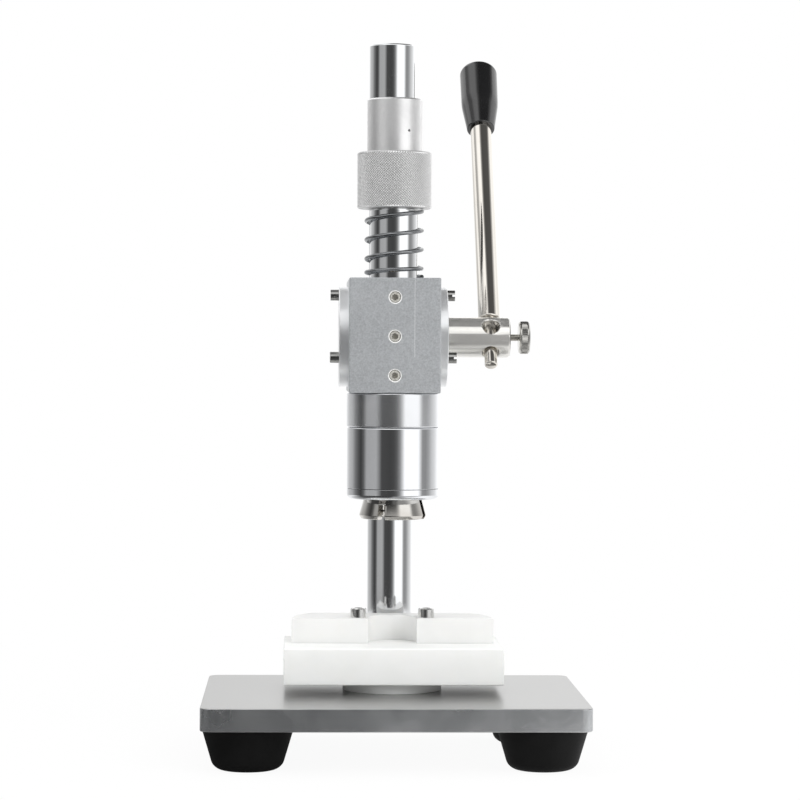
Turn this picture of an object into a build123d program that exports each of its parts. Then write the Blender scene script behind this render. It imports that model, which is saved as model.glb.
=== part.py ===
from build123d import *
import os
from math import acos, cos, pi, radians, sin, sqrt, tan

os.makedirs("parts", exist_ok=True)

# Bench vial crimper with a hand lever, a rack driven ram and a four jaw crimping head.
# All sizes are in millimetres. X points right, Y points to the back and Z points up.
# The origin is the middle of the vial seat, on the platform and on the ram axis.

# Driving dimensions of the base
plate_width = 200
plate_depth = 150
plate_thick = 12
plate_front = -86
plate_corner = 6
spacer_radius = 26.5
spacer_thick = 5.5
platform_width = 116
platform_depth = 66
platform_thick = 19.5
foot_height = 22
foot_top_radius = 24
foot_bottom_radius = 17.5
foot_inset = 24

# Driving dimensions of the vial locator
locator_radius = 54
locator_front = -6.5
locator_back = 24
locator_thick = 13.5
slot_radius = 13
locator_screw_x = 18.2
locator_screw_y = -1

# Driving dimensions of the pillar and the head block
pillar_radius = 12.5
pillar_y = 46
pillar_top = 325
block_width = 48.5
block_front = -24
block_back = 70
block_bottom = 134
block_top = 195
running_gap = 0.05
slit_width = 2.5

# Driving dimensions of the rack and pinion
gear_module = 1.5
gear_teeth = 12
pressure_angle = 20
pinion_z = 164
rack_pitch_y = 10
stroke = 24
journal_radius = 7.5
cover_radius = 27
cover_thick = 5
cover_screw_circle = 22.5

# Driving dimensions of the hub and the lever
hub_radius = 11
hub_start = 29.8
hub_end = 63.6
lever_x = 53
lever_radius = 6
lever_neck_radius = 4.6
lever_tip_radius = 3.5
lever_back_tilt = 36.3
knob_start = 149
knob_end = 194.2
knob_radius = 10.8
knob_neck_radius = 7.85
knob_crown = 3.8

# Driving dimensions of the ram and the crimping head
ram_radius = 12.8
neck_radius = 11
nut_radius = 20
nut_bottom = 232.4
nut_top = 262.5
cap_radius = 14.65
cap_top = 291
spring_wire_radius = 1.1
spring_mean_radius = 14.9
head_radius = 25
sleeve_radius = 24.8
adapter_top = 133.7
adapter_bottom = 115.7
ring_top = 82.8
ring_bottom = 77.2
jaw_bottom = 66.5
jaw_gap = 3.9
jaw_turn = -22.4
jaw_cone = 15

# Places that follow from the driving dimensions
plate_top = -platform_thick - spacer_thick
plate_bottom = plate_top - plate_thick
floor = plate_bottom - foot_height
plate_back = plate_front + plate_depth
plate_middle = (plate_front + plate_back) / 2
foot_x = plate_width / 2 - foot_inset
foot_y = plate_depth / 2 - foot_inset
foot_points = [(sx * foot_x, plate_middle + sy * foot_y) for sy in (-1, 1) for sx in (-1, 1)]
pitch_radius = gear_module * gear_teeth / 2
pinion_y = rack_pitch_y + pitch_radius
block_middle = (block_bottom + block_top) / 2
lever_out = Vector(0, sin(radians(lever_back_tilt)), cos(radians(lever_back_tilt)))
lever_across = Vector(0, -lever_out.Z, lever_out.Y)
hub_centre = Vector(lever_x, pinion_y, pinion_z)
# In this plane x is across the lever and y runs out along it
lever_plane = Plane(origin=hub_centre, x_dir=(1, 0, 0), z_dir=lever_across)


def finish(piece, label):
    piece.label = label
    export_step(piece, f"parts/{label}.step")


def bolt(head_radius, head_height, shank_radius, shank_length, socket_radius):
    """Socket head screw with its head on top of the XY plane and its shank below."""
    with BuildPart() as screw:
        with BuildSketch():
            Circle(head_radius)
        extrude(amount=head_height)
        chamfer(screw.edges().sort_by(Axis.Z)[-1], 0.4)
        with BuildSketch():
            Circle(shank_radius)
        extrude(amount=-shank_length)
        with BuildSketch(Plane.XY.offset(head_height)):
            RegularPolygon(socket_radius, 6)
        extrude(amount=-head_height * 0.6, mode=Mode.SUBTRACT)
    return screw.part


def coil(mean_radius, wire_radius, pitch, bottom, top):
    """Round wire coil about the Z axis, with its first and last turn started on the right."""
    with BuildPart() as wire:
        with BuildLine():
            path = Helix(pitch, top - bottom, mean_radius, center=(0, 0, bottom))
        with BuildSketch(Plane(origin=path @ 0, z_dir=path % 0)):
            Circle(wire_radius)
        sweep(is_frenet=True)
    return wire.part


# Base plate
underside_holes = [(0, 0), (0, pillar_y)]
with BuildPart() as base_plate:
    with BuildSketch(Plane.XY.offset(plate_bottom)):
        with Locations((0, plate_middle)):
            RectangleRounded(plate_width, plate_depth, plate_corner)
    extrude(amount=plate_thick)
    chamfer(base_plate.faces().sort_by(Axis.Z)[-1].edges(), 0.5)
    with BuildSketch(Plane.XY.offset(plate_top)):
        with Locations((0, pillar_y)):
            Circle(pillar_radius + running_gap)
    extrude(amount=-4, mode=Mode.SUBTRACT)
    with BuildSketch(Plane.XY.offset(plate_bottom)):
        with Locations(underside_holes[0]):
            Circle(4.3)
        with Locations(underside_holes[1]):
            Circle(5.3)
    extrude(amount=plate_thick, mode=Mode.SUBTRACT)
    with BuildSketch(Plane.XY.offset(plate_bottom)):
        with Locations(foot_points):
            Circle(3.05)
    extrude(amount=plate_thick - 3, mode=Mode.SUBTRACT)
finish(base_plate.part, "base_plate")

# Four rubber feet with a screw well in each
well_depth = 9
foot_names = ["foot_front_left", "foot_front_right", "foot_rear_left", "foot_rear_right"]
for name, point in zip(foot_names, foot_points):
    foot_plane = Plane(origin=(point[0], point[1], floor), z_dir=(0, 0, 1))
    with BuildPart() as foot:
        with BuildSketch(foot_plane):
            Circle(foot_bottom_radius)
        with BuildSketch(foot_plane.offset(foot_height)):
            Circle(foot_top_radius)
        loft()
        fillet(foot.edges().sort_by(Axis.Z)[0], 4)
        with BuildSketch(foot_plane):
            Circle(9)
        extrude(amount=well_depth, mode=Mode.SUBTRACT)
        with BuildSketch(foot_plane):
            Circle(3.3)
        extrude(amount=foot_height, mode=Mode.SUBTRACT)
    finish(foot.part, name)

foot_screw = bolt(5, 5, 3, foot_height - well_depth + 8, 2.9)
with BuildPart() as foot_screws:
    with Locations(*[Location((x, y, floor + well_depth), (180, 0, 0)) for x, y in foot_points]):
        add(foot_screw)
finish(foot_screws.part, "foot_screws")

# Pillar, with a blind hole for its bolt
with BuildPart() as pillar:
    with BuildSketch(Plane.XY.offset(plate_top - 4)):
        with Locations((0, pillar_y)):
            Circle(pillar_radius)
    extrude(amount=pillar_top - plate_top + 4)
    chamfer(pillar.faces().sort_by(Axis.Z)[-1].edges(), 1)
    with BuildSketch(Plane.XY.offset(plate_top - 4)):
        with Locations((0, pillar_y)):
            Circle(5.05)
    extrude(amount=24, mode=Mode.SUBTRACT)
finish(pillar.part, "pillar")

washer_thick = 2
with BuildPart() as pillar_washer:
    with BuildSketch(Plane.XY.offset(plate_bottom)):
        with Locations((0, pillar_y)):
            Circle(10)
            Circle(5.2, mode=Mode.SUBTRACT)
    extrude(amount=-washer_thick)
finish(pillar_washer.part, "pillar_washer")

with BuildPart() as pillar_bolt:
    with Locations(Location((0, pillar_y, plate_bottom - washer_thick), (180, 0, 0))):
        add(bolt(8, 10, 5, 30, 4.6))
finish(pillar_bolt.part, "pillar_bolt")

# White platform that the vial stands on
with BuildPart() as platform_spacer:
    with BuildSketch(Plane.XY.offset(plate_top)):
        Circle(spacer_radius)
        Circle(4.3, mode=Mode.SUBTRACT)
    extrude(amount=spacer_thick)
finish(platform_spacer.part, "platform_spacer")

with BuildPart() as platform_block:
    with BuildSketch(Plane.XY.offset(-platform_thick)):
        Rectangle(platform_width, platform_depth)
    extrude(amount=platform_thick)
    chamfer(platform_block.edges(), 0.6)
    with BuildSketch(Plane.XY.offset(-platform_thick)):
        Circle(4.05)
    extrude(amount=13, mode=Mode.SUBTRACT)
    with BuildSketch():
        with Locations((-locator_screw_x, locator_screw_y), (locator_screw_x, locator_screw_y)):
            Circle(2.55)
    extrude(amount=-11, mode=Mode.SUBTRACT)
finish(platform_block.part, "platform_block")

with BuildPart() as platform_washer:
    with BuildSketch(Plane.XY.offset(plate_bottom)):
        Circle(8)
        Circle(4.2, mode=Mode.SUBTRACT)
    extrude(amount=-washer_thick)
finish(platform_washer.part, "platform_washer")

with BuildPart() as platform_bolt:
    with Locations(Location((0, 0, plate_bottom - washer_thick), (180, 0, 0))):
        add(bolt(6.5, 8, 4, 30, 3.5))
finish(platform_bolt.part, "platform_bolt")

# Half round locator with a slot that centres the vial
locator_span = locator_back - locator_front
with BuildPart() as vial_locator:
    with BuildSketch():
        with Locations((0, locator_front)):
            Circle(locator_radius)
        with Locations((0, locator_front + locator_span / 2)):
            Rectangle(3 * locator_radius, locator_span, mode=Mode.INTERSECT)
        Circle(slot_radius, mode=Mode.SUBTRACT)
        with Locations((0, locator_front)):
            Rectangle(2 * slot_radius, -2 * locator_front, mode=Mode.SUBTRACT)
        with Locations((-locator_screw_x, locator_screw_y), (locator_screw_x, locator_screw_y)):
            Circle(2.7, mode=Mode.SUBTRACT)
    extrude(amount=locator_thick)
    rim = vial_locator.faces().sort_by(Axis.Z)[-1].outer_wire()
    chamfer(rim.edges(), 0.4)
finish(vial_locator.part, "vial_locator")

with BuildPart() as locator_screws:
    with Locations((-locator_screw_x, locator_screw_y, locator_thick), (locator_screw_x, locator_screw_y, locator_thick)):
        add(bolt(4.25, 5, 2.5, locator_thick + 10, 2.3))
finish(locator_screws.part, "locator_screws")

# Head block with the ram bore, the pillar bore and the cross bore of the pinion
block_plane = Plane.XY.offset(block_bottom)
block_height = block_top - block_bottom
cross_plane = Plane(origin=(0, pinion_y, pinion_z), x_dir=(0, 1, 0), z_dir=(1, 0, 0))
front_plane = Plane(origin=(0, block_front, pinion_z), x_dir=(1, 0, 0), z_dir=(0, -1, 0))
side_plane = Plane(origin=(block_width / 2, 64.5, pinion_z), x_dir=(0, 1, 0), z_dir=(1, 0, 0))
cross_bore_radius = pitch_radius + gear_module + 0.4
seat_radius = 15
seat_depth = 8
gib_width = 8
gib_front = -16.4
set_screw_radius = 3
set_screw_step = 20.7
set_screw_points = [(0, -set_screw_step), (0, 0), (0, set_screw_step)]
clamp_points = [(0, -18), (0, 18)]
cover_angles = (90, 210, 330)
with BuildPart() as head_block:
    with BuildSketch(block_plane):
        with Locations((0, (block_front + block_back) / 2)):
            Rectangle(block_width, block_back - block_front)
    extrude(amount=block_height)
    chamfer(head_block.edges(), 0.5)
    with BuildSketch(block_plane):
        Circle(ram_radius + running_gap)
        with Locations((0, pillar_y)):
            Circle(pillar_radius + running_gap)
        with Locations((0, gib_front / 2 - 0.05)):
            Rectangle(gib_width + 0.1, -gib_front)
        with Locations((0, (pillar_y + block_back) / 2)):
            Rectangle(slit_width, block_back - pillar_y + 2)
    extrude(amount=block_height, mode=Mode.SUBTRACT)
    with BuildSketch(cross_plane):
        Circle(cross_bore_radius)
    extrude(amount=block_width, both=True, mode=Mode.SUBTRACT)
    for side in (-1, 1):
        with BuildSketch(cross_plane.offset(side * block_width / 2)):
            Circle(seat_radius)
        extrude(amount=-side * seat_depth, mode=Mode.SUBTRACT)
        with BuildSketch(cross_plane.offset(side * block_width / 2)):
            for angle in cover_angles:
                with PolarLocations(cover_screw_circle, 1, start_angle=angle):
                    Circle(1.8)
        extrude(amount=-side * seat_depth, mode=Mode.SUBTRACT)
    with BuildSketch(front_plane):
        with Locations(set_screw_points):
            Circle(set_screw_radius + 0.05)
    extrude(amount=block_front - gib_front - 0.5, mode=Mode.SUBTRACT)
    mouths = head_block.faces().sort_by(Axis.Y)[0].edges().filter_by(GeomType.CIRCLE)
    chamfer(mouths, 0.5)
    with BuildSketch(side_plane):
        with Locations(clamp_points):
            Circle(3.1)
    extrude(amount=-block_width + 5, mode=Mode.SUBTRACT)
    with BuildSketch(side_plane):
        with Locations(clamp_points):
            Circle(5.3)
    extrude(amount=-7, mode=Mode.SUBTRACT)
finish(head_block.part, "head_block")

# Gib that the front set screws press on the ram
with BuildPart() as guide_gib:
    with BuildSketch(block_plane.offset(2)):
        with Locations((0, gib_front / 2)):
            Rectangle(gib_width, -gib_front)
        Circle(ram_radius + running_gap, mode=Mode.SUBTRACT)
    extrude(amount=block_height - 4)
finish(guide_gib.part, "guide_gib")

set_screw_length = gib_front - block_front - 0.6
with BuildPart() as gib_screws:
    with BuildSketch(front_plane.offset(-0.6)):
        with Locations(set_screw_points):
            Circle(set_screw_radius)
    extrude(amount=-set_screw_length)
    with BuildSketch(front_plane.offset(-0.6)):
        with Locations(set_screw_points):
            RegularPolygon(1.75, 6)
    extrude(amount=-3, mode=Mode.SUBTRACT)
finish(gib_screws.part, "gib_screws")

clamp_bolt = bolt(5, 6, 3, 32, 2.9)
with BuildPart() as clamp_screws:
    head_seat = side_plane.offset(-7)
    with Locations(*[Plane(head_seat.from_local_coords((0, up, 0)), x_dir=(0, 1, 0), z_dir=(1, 0, 0)) for _, up in clamp_points]):
        add(clamp_bolt)
finish(clamp_screws.part, "clamp_screws")

# Bearing covers with a bush in each, and their slotted screws
bush_radius = 9
spigot_length = seat_depth - 0.5
for name, side in (("left", -1), ("right", 1)):
    face_plane = cross_plane.offset(side * block_width / 2)
    with BuildPart() as bearing_cover:
        with BuildSketch(face_plane):
            Circle(cover_radius)
        extrude(amount=side * cover_thick)
        chamfer(bearing_cover.edges().group_by(Axis.X)[-1 if side > 0 else 0], 0.4)
        with BuildSketch(face_plane):
            Circle(seat_radius - 0.05)
        extrude(amount=-side * spigot_length)
        with BuildSketch(face_plane.offset(-side * spigot_length)):
            Circle(bush_radius)
        extrude(amount=side * (spigot_length + 2.5), mode=Mode.SUBTRACT)
        with BuildSketch(face_plane):
            for angle in cover_angles:
                with PolarLocations(cover_screw_circle, 1, start_angle=angle):
                    Circle(1.85)
        extrude(amount=side * cover_thick, mode=Mode.SUBTRACT)
        if side > 0:
            with BuildSketch(face_plane):
                Circle(journal_radius + 0.3)
            extrude(amount=cover_thick, mode=Mode.SUBTRACT)
    finish(bearing_cover.part, f"{name}_bearing_cover")

    with BuildPart() as bearing_bush:
        with BuildSketch(face_plane.offset(side * 2.45)):
            Circle(bush_radius - 0.03)
            Circle(journal_radius + running_gap, mode=Mode.SUBTRACT)
        extrude(amount=-side * (spigot_length + 2.4))
    finish(bearing_bush.part, f"{name}_bearing_bush")

with BuildPart() as slotted_screw:
    with BuildSketch():
        Circle(3)
    extrude(amount=4.5)
    with BuildSketch():
        Circle(1.75)
    extrude(amount=-12)
    with BuildSketch(Plane.XY.offset(4.5)):
        Rectangle(7, 1.2)
    extrude(amount=-1.5, mode=Mode.SUBTRACT)

screw_places = []
for side in (-1, 1):
    for angle in cover_angles:
        place = cross_plane.offset(side * (block_width / 2 + cover_thick)).from_local_coords(
            (cover_screw_circle * cos(radians(angle)), cover_screw_circle * sin(radians(angle)), 0)
        )
        slot_direction = (0, 1, 0) if side > 0 else (0, 0, 1)
        screw_places.append(Plane(origin=place, x_dir=slot_direction, z_dir=(side, 0, 0)))
with BuildPart() as cover_screws:
    with Locations(*screw_places):
        add(slotted_screw.part)
finish(cover_screws.part, "cover_screws")

# Pinion shaft with its teeth and its hub. Each tooth flank is a short involute.
base_radius = pitch_radius * cos(radians(pressure_angle))
tip_radius = pitch_radius + gear_module
root_radius = pitch_radius - 1.25 * gear_module
backlash = 0.12
half_tooth = (pi * gear_module / 2 - backlash) / 2 / pitch_radius
roll_at_pitch = tan(radians(pressure_angle)) - radians(pressure_angle)
gear_half_width = 10


def flank_point(radius, side):
    """Point on the flank of the tooth that points along local +X."""
    grip = acos(base_radius / radius)
    angle = side * (half_tooth + roll_at_pitch - (tan(grip) - grip))
    return (radius * cos(angle), radius * sin(angle))


flank_radii = [base_radius + (tip_radius - base_radius) * step / 3 for step in range(4)]
foot_angle = half_tooth + roll_at_pitch
tooth_outline = [(root_radius * 0.9 * cos(foot_angle), -root_radius * 0.9 * sin(foot_angle))]
tooth_outline += [flank_point(radius, -1) for radius in flank_radii]
tooth_outline += [flank_point(radius, 1) for radius in reversed(flank_radii)]
tooth_outline += [(root_radius * 0.9 * cos(foot_angle), root_radius * 0.9 * sin(foot_angle))]
with BuildPart() as pinion_shaft:
    with BuildSketch(cross_plane.offset(-gear_half_width)):
        Circle(root_radius)
        with BuildSketch(mode=Mode.PRIVATE) as tooth:
            with BuildLine():
                Polyline(*tooth_outline, close=True)
            make_face()
        with PolarLocations(0, gear_teeth, start_angle=180):
            add(tooth.sketch)
    extrude(amount=2 * gear_half_width)
    with BuildSketch(cross_plane.offset(-block_width / 2)):
        Circle(journal_radius - 0.5)
    extrude(amount=hub_start + block_width / 2)
    for start, length in ((-block_width / 2 - 2, 10.5), (block_width / 2 - 8, hub_start - block_width / 2 + 8)):
        with BuildSketch(cross_plane.offset(start)):
            Circle(journal_radius)
        extrude(amount=length)
    with BuildSketch(cross_plane.offset(hub_start)):
        Circle(hub_radius)
    extrude(amount=hub_end - hub_start)
    chamfer(pinion_shaft.edges().group_by(Axis.X)[-1], 1)
    for direction in (lever_out, lever_across):
        with BuildSketch(Plane(origin=hub_centre, x_dir=(1, 0, 0), z_dir=direction)):
            Circle(lever_neck_radius + running_gap)
        extrude(amount=2 * hub_radius, both=True, mode=Mode.SUBTRACT)
    hub_face = pinion_shaft.faces().filter_by(GeomType.CYLINDER).sort_by(SortBy.AREA)[-1]
    hole_edges = [edge for edge in hub_face.edges() if hub_start + 2 < edge.center().X < hub_end - 2]
    chamfer(hole_edges, 0.6)
    with BuildSketch(cross_plane.offset(hub_end)):
        Circle(2.05)
    extrude(amount=-(hub_end - lever_x), mode=Mode.SUBTRACT)
finish(pinion_shaft.part, "pinion_shaft")

# Lever rod, its knob, and the thumb screw that grips it
rod_profile = [
    (0, -19),
    (lever_tip_radius - 0.6, -19),
    (lever_tip_radius, -18.4),
    (lever_tip_radius, -8.5),
    (lever_neck_radius - 0.4, -8.5),
    (lever_neck_radius, -8.1),
    (lever_neck_radius, hub_radius + 0.15),
    (lever_radius - 0.9, hub_radius + 0.15),
    (lever_radius, hub_radius + 1.05),
    (lever_radius, knob_start + 1.9),
    (lever_radius - 1.1, knob_start + 1.9),
    (lever_radius - 1.1, knob_start + 24),
    (0, knob_start + 24),
]
lever_axis = Axis(hub_centre, lever_out)
with BuildPart() as lever_rod:
    with BuildSketch(lever_plane):
        with BuildLine():
            Polyline(*rod_profile, close=True)
        make_face()
    revolve(axis=lever_axis)
finish(lever_rod.part, "lever_rod")

knob_shoulder = knob_start + 18
with BuildPart() as lever_knob:
    with BuildSketch(lever_plane):
        with BuildLine():
            bore = Polyline(
                (0, knob_end),
                (0, knob_start + 24.5),
                (lever_radius - 1, knob_start + 24.5),
                (lever_radius - 1, knob_start + 2),
                (lever_radius + 0.1, knob_start + 2),
                (lever_radius + 0.1, knob_start),
                (knob_neck_radius, knob_start),
            )
            waist = Line(bore @ 1, (knob_radius - 0.25, knob_shoulder))
            body = Line(waist @ 1, (knob_radius, knob_end - knob_crown))
            crown = CenterArc((knob_radius - knob_crown, knob_end - knob_crown), knob_crown, 0, 90)
            Line(crown @ 1, (0, knob_end))
        make_face()
    revolve(axis=lever_axis)
finish(lever_knob.part, "lever_knob")

thumb_head_start = 68.6
thumb_head_end = 74.4
thumb_radius = 8.85
thumb_tip = lever_x + lever_neck_radius + 0.25
with BuildPart() as thumb_screw:
    with BuildSketch(cross_plane.offset(thumb_tip)):
        Circle(2)
    extrude(amount=thumb_head_start - thumb_tip)
    with BuildSketch(cross_plane.offset(thumb_head_start)):
        Circle(thumb_radius)
    extrude(amount=thumb_head_end - thumb_head_start)
    chamfer(thumb_screw.edges().filter_by(GeomType.CIRCLE).group_by(SortBy.RADIUS)[-1], 0.5)
finish(thumb_screw.part, "thumb_screw")

# Ram with rack teeth on its back
ram_bottom = 121
neck_bottom = nut_bottom - 1
rack_pitch = pi * gear_module
rack_gaps = range(-3, 8)
rack_tip_y = rack_pitch_y + 1
rack_root_y = rack_pitch_y - 1.8
slope = tan(radians(pressure_angle))
gap_half = rack_pitch / 4 + backlash / 2
with BuildPart() as ram:
    with BuildSketch(Plane.XY.offset(ram_bottom)):
        Circle(ram_radius)
    extrude(amount=neck_bottom - ram_bottom)
    with BuildSketch(Plane.XY.offset(neck_bottom)):
        Circle(neck_radius)
    extrude(amount=cap_top - 6 - neck_bottom)
    rack_length = (len(rack_gaps) + 0.5) * rack_pitch
    rack_middle = pinion_z + (rack_gaps[0] + rack_gaps[-1]) / 2 * rack_pitch
    with BuildSketch(Plane(origin=(0, 0, rack_middle), x_dir=(0, 1, 0), z_dir=(1, 0, 0))):
        with Locations((rack_tip_y + 2, 0)):
            Rectangle(4, rack_length)
    extrude(amount=ram_radius, both=True, mode=Mode.SUBTRACT)
    with BuildSketch(Plane(origin=(0, 0, pinion_z), x_dir=(0, 1, 0), z_dir=(1, 0, 0))):
        for index in rack_gaps:
            with BuildLine():
                Polyline(
                    (rack_root_y, index * rack_pitch - gap_half + slope * 1.8),
                    (rack_tip_y + 1, index * rack_pitch - gap_half - slope * 2),
                    (rack_tip_y + 1, index * rack_pitch + gap_half + slope * 2),
                    (rack_root_y, index * rack_pitch + gap_half - slope * 1.8),
                    close=True,
                )
            make_face()
    extrude(amount=ram_radius, both=True, mode=Mode.SUBTRACT)
finish(ram.part, "ram")

# Knurled adjusting nut, the plain cap above it and the return spring below it
with BuildPart() as adjusting_nut:
    with BuildSketch(Plane.XY.offset(nut_bottom)):
        Circle(nut_radius)
    extrude(amount=nut_top - nut_bottom)
    chamfer(adjusting_nut.edges(), 0.5)
    with BuildSketch(Plane.XY.offset(nut_bottom)):
        Circle(neck_radius + running_gap)
    extrude(amount=nut_top - nut_bottom, mode=Mode.SUBTRACT)
finish(adjusting_nut.part, "adjusting_nut")

with BuildPart() as ram_cap:
    with BuildSketch(Plane.XY.offset(nut_top + 0.1)):
        Circle(cap_radius)
    extrude(amount=cap_top - nut_top - 0.1)
    chamfer(ram_cap.edges().sort_by(Axis.Z)[-1], 0.8)
    with BuildSketch(Plane.XY.offset(nut_top + 0.1)):
        Circle(neck_radius + 0.02)
    extrude(amount=cap_top - 6 - nut_top, mode=Mode.SUBTRACT)
    with BuildSketch(Plane(origin=(0, 0, nut_top + 11), z_dir=(0.5, -sqrt(0.75), 0))):
        Circle(0.7)
    extrude(amount=2 * cap_radius, mode=Mode.SUBTRACT)
finish(ram_cap.part, "ram_cap")

closed_pitch = 4.4
closed_bottom = block_top + spring_wire_radius + 0.1
closed_top = closed_bottom + closed_pitch
spring_top = nut_bottom - spring_wire_radius - 0.1
spring_pitch = (spring_top - closed_top) / 3
with BuildPart() as return_spring:
    add(coil(spring_mean_radius, spring_wire_radius, closed_pitch, closed_bottom, closed_top))
    add(coil(spring_mean_radius, spring_wire_radius, spring_pitch, closed_top, spring_top))
    with Locations((spring_mean_radius, 0, closed_top)):
        Sphere(spring_wire_radius)
finish(return_spring.part, "return_spring")

# Crimping head body: adapter on the ram, sleeve and closing ring
carrier_top = 100
core_travel = 5
sleeve_bore = 20.6
thread_radius = 22.4
spigot_bottom = 107.5
spring_room = 14
with BuildPart() as head_adapter:
    with BuildSketch(Plane.XY.offset(adapter_bottom)):
        Circle(head_radius)
    extrude(amount=adapter_top - adapter_bottom)
    chamfer(head_adapter.edges(), 0.6)
    with BuildSketch(Plane.XY.offset(spigot_bottom)):
        Circle(thread_radius)
    extrude(amount=adapter_bottom - spigot_bottom)
    with BuildSketch(Plane.XY.offset(spigot_bottom)):
        Circle(spring_room)
    extrude(amount=ram_bottom - spigot_bottom, mode=Mode.SUBTRACT)
    with BuildSketch(Plane.XY.offset(ram_bottom)):
        Circle(ram_radius + 0.02)
    extrude(amount=adapter_top - ram_bottom, mode=Mode.SUBTRACT)
finish(head_adapter.part, "head_adapter")

with BuildPart() as crimp_sleeve:
    with BuildSketch(Plane.XY.offset(ring_top)):
        Circle(sleeve_radius)
    extrude(amount=adapter_bottom - ring_top)
    chamfer(crimp_sleeve.edges().sort_by(Axis.Z)[-1], 0.8)
    with BuildSketch(Plane.XY.offset(ring_top)):
        Circle(sleeve_bore)
    extrude(amount=adapter_bottom - ring_top, mode=Mode.SUBTRACT)
    with BuildSketch(Plane.XY.offset(spigot_bottom)):
        Circle(thread_radius + 0.02)
    extrude(amount=adapter_bottom - spigot_bottom, mode=Mode.SUBTRACT)
finish(crimp_sleeve.part, "crimp_sleeve")

ring_mouth = 16.3
with BuildPart() as closing_ring:
    with BuildSketch(Plane.XY.offset(ring_bottom)):
        Circle(sleeve_radius)
    extrude(amount=ring_top - ring_bottom)
    fillet(closing_ring.edges().sort_by(Axis.Z)[0], 2.6)
    with BuildSketch(Plane.XY.offset(ring_top)):
        Circle(sleeve_bore - 0.05)
    extrude(amount=5)
    with BuildSketch(Plane.XY.offset(ring_bottom)):
        Circle(ring_mouth)
    extrude(amount=2, mode=Mode.SUBTRACT)
    with BuildSketch(Plane.XY.offset(ring_bottom + 2)):
        Circle(ring_mouth)
    with BuildSketch(Plane.XY.offset(ring_top + 5)):
        Circle(ring_mouth + 2.5)
    loft(mode=Mode.SUBTRACT)
finish(closing_ring.part, "closing_ring")

# Jaw carrier, a cup whose inner lip holds the hooks of the jaws, with the plunger in its middle
carrier_bottom = ring_top + 5.1
carrier_radius = sleeve_bore - 0.1
carrier_floor = 95
lip_top = carrier_bottom + 2
plunger_radius = 8.8
with BuildPart() as jaw_carrier:
    with BuildSketch(Plane.XY.offset(carrier_bottom)):
        Circle(carrier_radius)
    extrude(amount=carrier_top - carrier_bottom)
    with BuildSketch(Plane.XY.offset(carrier_bottom)):
        Circle(15.6)
    extrude(amount=2, mode=Mode.SUBTRACT)
    with BuildSketch(Plane.XY.offset(lip_top)):
        Circle(18.3)
    extrude(amount=carrier_floor - lip_top, mode=Mode.SUBTRACT)
    with BuildSketch(Plane.XY.offset(carrier_floor)):
        Circle(6.02)
    extrude(amount=carrier_top - carrier_floor, mode=Mode.SUBTRACT)
finish(jaw_carrier.part, "jaw_carrier")

plunger_bottom = 74
with BuildPart() as plunger:
    with BuildSketch(Plane.XY.offset(plunger_bottom)):
        Circle(plunger_radius)
    extrude(amount=carrier_floor - plunger_bottom)
    chamfer(plunger.edges().sort_by(Axis.Z)[0], 0.8)
    with BuildSketch(Plane.XY.offset(carrier_floor)):
        Circle(6)
    extrude(amount=carrier_top - carrier_floor)
finish(plunger.part, "plunger")

core_wire = 0.9
with BuildPart() as core_spring:
    low = carrier_top + core_wire + 0.1
    high = ram_bottom - core_wire - 0.1
    add(coil(11, core_wire, (high - low) / 4, low, high))
finish(core_spring.part, "core_spring")

# Four jaws, cut from one turned ring by two crossing gaps
cone_run = tan(radians(jaw_cone))
jaw_at_ring = 15.6
leg_radius = 14.2
cone_top = ring_bottom + (jaw_at_ring - leg_radius) / cone_run
jaw_edge = jaw_at_ring + (ring_bottom - jaw_bottom - 2) * cone_run
jaw_profile = [
    (11.2, jaw_bottom + 0.8),
    (12, jaw_bottom),
    (jaw_edge - 1, jaw_bottom),
    (jaw_edge, jaw_bottom + 2),
    (leg_radius, cone_top),
    (leg_radius, lip_top + 0.4),
    (17.4, lip_top + 0.4),
    (17.4, lip_top + 3),
    (10.8, lip_top + 3),
    (10.8, jaw_bottom + 13),
    (12, jaw_bottom + 11),
    (12, jaw_bottom + 4),
    (11.2, jaw_bottom + 3),
]
jaw_names = ["jaw_front", "jaw_right", "jaw_back", "jaw_left"]
for index, name in enumerate(jaw_names):
    middle_angle = -90 + jaw_turn + 45 + 90 * index
    with BuildPart() as jaw:
        with BuildSketch(Plane.XZ):
            with BuildLine():
                Polyline(*jaw_profile, close=True)
            make_face()
        revolve(axis=Axis.Z)
        quarter = Plane(origin=(0, 0, 0), x_dir=(cos(radians(middle_angle)), sin(radians(middle_angle)), 0), z_dir=(0, 0, 1))
        with BuildSketch(quarter):
            reach = 3 * head_radius
            inset = jaw_gap / sqrt(2)
            with BuildLine():
                Polyline((inset, 0), (inset + reach, reach), (inset + reach, -reach), close=True)
            make_face()
        extrude(amount=2 * head_radius + ring_top, mode=Mode.INTERSECT)
    finish(jaw.part, name)
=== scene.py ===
import math

import bmesh
import bpy
from mathutils import Matrix, Vector


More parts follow.
